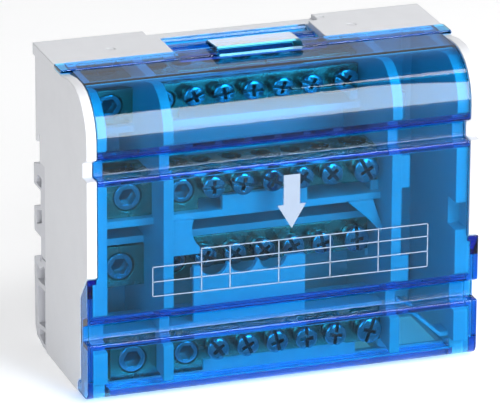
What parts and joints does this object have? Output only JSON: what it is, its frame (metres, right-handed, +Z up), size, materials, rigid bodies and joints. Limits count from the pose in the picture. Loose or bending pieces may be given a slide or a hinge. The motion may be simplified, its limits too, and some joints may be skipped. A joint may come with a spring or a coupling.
{
  "type": "power distribution block",
  "caption": "Rail-mounted terminal block that splits each incoming conductor over a brass bar with clamp screws, behind a hinged clear blue cover.",
  "frame": {"origin": "centre of the outer box at its bottom", "axes": "+Z up, the front with the cover faces -Y, +X to the right seen from the front"},
  "size_m": [0.108, 0.049, 0.0864],
  "materials": {
    "grey_plastic": "fine satin, light grey moulded plastic",
    "inner_plastic": "satin, pale grey moulded plastic",
    "clear_blue": "glossy, transparent blue",
    "brass": "machined, unpolished",
    "zinc_steel": "bright zinc plate"
  },
  "bodies": {
    "base": {"housing": "grey_plastic", "rail_frame": "grey_plastic", "carrier": "inner_plastic", "busbar_1": "brass", "busbar_2": "brass", "busbar_3": "brass", "busbar_4": "brass"},
    "cover": {"cover": "clear_blue"},
    "clip_left": {"rail_clip_left": "grey_plastic"},
    "clip_right": {"rail_clip_right": "grey_plastic"},
    "screw_1_in": {"screw_1_in": "zinc_steel"},
    "screw_1_a": {"screw_1_a": "zinc_steel"},
    "screw_1_b": {"screw_1_b": "zinc_steel"},
    "screw_1_c": {"screw_1_c": "zinc_steel"},
    "screw_1_d": {"screw_1_d": "zinc_steel"},
    "screw_1_e": {"screw_1_e": "zinc_steel"},
    "screw_1_f": {"screw_1_f": "zinc_steel"},
    "screw_1_g": {"screw_1_g": "zinc_steel"},
    "screw_2_in": {"screw_2_in": "zinc_steel"},
    "screw_2_a": {"screw_2_a": "zinc_steel"},
    "screw_2_b": {"screw_2_b": "zinc_steel"},
    "screw_2_c": {"screw_2_c": "zinc_steel"},
    "screw_2_d": {"screw_2_d": "zinc_steel"},
    "screw_2_e": {"screw_2_e": "zinc_steel"},
    "screw_2_f": {"screw_2_f": "zinc_steel"},
    "screw_2_g": {"screw_2_g": "zinc_steel"},
    "screw_3_in": {"screw_3_in": "zinc_steel"},
    "screw_3_a": {"screw_3_a": "zinc_steel"},
    "screw_3_b": {"screw_3_b": "zinc_steel"},
    "screw_3_c": {"screw_3_c": "zinc_steel"},
    "screw_3_d": {"screw_3_d": "zinc_steel"},
    "screw_3_e": {"screw_3_e": "zinc_steel"},
    "screw_3_f": {"screw_3_f": "zinc_steel"},
    "screw_3_g": {"screw_3_g": "zinc_steel"},
    "screw_4_in": {"screw_4_in": "zinc_steel"},
    "screw_4_a": {"screw_4_a": "zinc_steel"},
    "screw_4_b": {"screw_4_b": "zinc_steel"},
    "screw_4_c": {"screw_4_c": "zinc_steel"},
    "screw_4_d": {"screw_4_d": "zinc_steel"},
    "screw_4_e": {"screw_4_e": "zinc_steel"},
    "screw_4_f": {"screw_4_f": "zinc_steel"},
    "screw_4_g": {"screw_4_g": "zinc_steel"}
  },
  "joints": [
    {"name": "cover_hinge", "type": "hinge", "parent": "base", "child": "cover", "pos_m": [0, -0.017, 0.002], "axis": [1, 0, 0], "range_deg": [0, 100]},
    {"name": "clip_left_slide", "type": "slide", "parent": "base", "child": "clip_left", "axis": [0, 0, -1], "range_m": [0, 0.0035], "stiffness_N_per_m": 3000},
    {"name": "clip_right_slide", "type": "slide", "parent": "base", "child": "clip_right", "axis": [0, 0, -1], "range_m": [0, 0.0035], "stiffness_N_per_m": 3000},
    {"name": "screw_1_in_turn", "type": "hinge", "parent": "base", "child": "screw_1_in", "pos_m": [-0.0393, 0.0045, 0.0713], "axis": [0, 1, 0], "range_deg": [0, 1080]},
    {"name": "screw_1_a_turn", "type": "hinge", "parent": "base", "child": "screw_1_a", "pos_m": [-0.0244, 0.0045, 0.0713], "axis": [0, 1, 0], "range_deg": [0, 1080]},
    {"name": "screw_1_b_turn", "type": "hinge", "parent": "base", "child": "screw_1_b", "pos_m": [-0.017, 0.0045, 0.073], "axis": [0, 1, 0], "range_deg": [0, 1080]},
    {"name": "screw_1_c_turn", "type": "hinge", "parent": "base", "child": "screw_1_c", "pos_m": [-0.00885, 0.0045, 0.073], "axis": [0, 1, 0], "range_deg": [0, 1080]},
    {"name": "screw_1_d_turn", "type": "hinge", "parent": "base", "child": "screw_1_d", "pos_m": [-0.0007, 0.0045, 0.073], "axis": [0, 1, 0], "range_deg": [0, 1080]},
    {"name": "screw_1_e_turn", "type": "hinge", "parent": "base", "child": "screw_1_e", "pos_m": [0.00745, 0.0045, 0.073], "axis": [0, 1, 0], "range_deg": [0, 1080]},
    {"name": "screw_1_f_turn", "type": "hinge", "parent": "base", "child": "screw_1_f", "pos_m": [0.0156, 0.0045, 0.073], "axis": [0, 1, 0], "range_deg": [0, 1080]},
    {"name": "screw_1_g_turn", "type": "hinge", "parent": "base", "child": "screw_1_g", "pos_m": [0.0251, 0.0045, 0.073], "axis": [0, 1, 0], "range_deg": [0, 1080]},
    {"name": "screw_2_in_turn", "type": "hinge", "parent": "base", "child": "screw_2_in", "pos_m": [-0.0393, -0.0118, 0.0516], "axis": [0, 1, 0], "range_deg": [0, 1080]},
    {"name": "screw_2_a_turn", "type": "hinge", "parent": "base", "child": "screw_2_a", "pos_m": [-0.0244, -0.0118, 0.0516], "axis": [0, 1, 0], "range_deg": [0, 1080]},
    {"name": "screw_2_b_turn", "type": "hinge", "parent": "base", "child": "screw_2_b", "pos_m": [-0.017, -0.0118, 0.0533], "axis": [0, 1, 0], "range_deg": [0, 1080]},
    {"name": "screw_2_c_turn", "type": "hinge", "parent": "base", "child": "screw_2_c", "pos_m": [-0.00885, -0.0118, 0.0533], "axis": [0, 1, 0], "range_deg": [0, 1080]},
    {"name": "screw_2_d_turn", "type": "hinge", "parent": "base", "child": "screw_2_d", "pos_m": [-0.0007, -0.0118, 0.0533], "axis": [0, 1, 0], "range_deg": [0, 1080]},
    {"name": "screw_2_e_turn", "type": "hinge", "parent": "base", "child": "screw_2_e", "pos_m": [0.00745, -0.0118, 0.0533], "axis": [0, 1, 0], "range_deg": [0, 1080]},
    {"name": "screw_2_f_turn", "type": "hinge", "parent": "base", "child": "screw_2_f", "pos_m": [0.0156, -0.0118, 0.0533], "axis": [0, 1, 0], "range_deg": [0, 1080]},
    {"name": "screw_2_g_turn", "type": "hinge", "parent": "base", "child": "screw_2_g", "pos_m": [0.0251, -0.0118, 0.0533], "axis": [0, 1, 0], "range_deg": [0, 1080]},
    {"name": "screw_3_in_turn", "type": "hinge", "parent": "base", "child": "screw_3_in", "pos_m": [-0.0393, -0.0049, 0.0298], "axis": [0, 1, 0], "range_deg": [0, 1080]},
    {"name": "screw_3_a_turn", "type": "hinge", "parent": "base", "child": "screw_3_a", "pos_m": [-0.0244, -0.0049, 0.0298], "axis": [0, 1, 0], "range_deg": [0, 1080]},
    {"name": "screw_3_b_turn", "type": "hinge", "parent": "base", "child": "screw_3_b", "pos_m": [-0.017, -0.0049, 0.0315], "axis": [0, 1, 0], "range_deg": [0, 1080]},
    {"name": "screw_3_c_turn", "type": "hinge", "parent": "base", "child": "screw_3_c", "pos_m": [-0.00885, -0.0049, 0.0315], "axis": [0, 1, 0], "range_deg": [0, 1080]},
    {"name": "screw_3_d_turn", "type": "hinge", "parent": "base", "child": "screw_3_d", "pos_m": [-0.0007, -0.0049, 0.0315], "axis": [0, 1, 0], "range_deg": [0, 1080]},
    {"name": "screw_3_e_turn", "type": "hinge", "parent": "base", "child": "screw_3_e", "pos_m": [0.00745, -0.0049, 0.0315], "axis": [0, 1, 0], "range_deg": [0, 1080]},
    {"name": "screw_3_f_turn", "type": "hinge", "parent": "base", "child": "screw_3_f", "pos_m": [0.0156, -0.0049, 0.0315], "axis": [0, 1, 0], "range_deg": [0, 1080]},
    {"name": "screw_3_g_turn", "type": "hinge", "parent": "base", "child": "screw_3_g", "pos_m": [0.0251, -0.0049, 0.0315], "axis": [0, 1, 0], "range_deg": [0, 1080]},
    {"name": "screw_4_in_turn", "type": "hinge", "parent": "base", "child": "screw_4_in", "pos_m": [-0.0393, -0.0156, 0.0078], "axis": [0, 1, 0], "range_deg": [0, 1080]},
    {"name": "screw_4_a_turn", "type": "hinge", "parent": "base", "child": "screw_4_a", "pos_m": [-0.0244, -0.0156, 0.0078], "axis": [0, 1, 0], "range_deg": [0, 1080]},
    {"name": "screw_4_b_turn", "type": "hinge", "parent": "base", "child": "screw_4_b", "pos_m": [-0.017, -0.0156, 0.0095], "axis": [0, 1, 0], "range_deg": [0, 1080]},
    {"name": "screw_4_c_turn", "type": "hinge", "parent": "base", "child": "screw_4_c", "pos_m": [-0.00885, -0.0156, 0.0095], "axis": [0, 1, 0], "range_deg": [0, 1080]},
    {"name": "screw_4_d_turn", "type": "hinge", "parent": "base", "child": "screw_4_d", "pos_m": [-0.0007, -0.0156, 0.0095], "axis": [0, 1, 0], "range_deg": [0, 1080]},
    {"name": "screw_4_e_turn", "type": "hinge", "parent": "base", "child": "screw_4_e", "pos_m": [0.00745, -0.0156, 0.0095], "axis": [0, 1, 0], "range_deg": [0, 1080]},
    {"name": "screw_4_f_turn", "type": "hinge", "parent": "base", "child": "screw_4_f", "pos_m": [0.0156, -0.0156, 0.0095], "axis": [0, 1, 0], "range_deg": [0, 1080]},
    {"name": "screw_4_g_turn", "type": "hinge", "parent": "base", "child": "screw_4_g", "pos_m": [0.0251, -0.0156, 0.0095], "axis": [0, 1, 0], "range_deg": [0, 1080]}
  ]
}
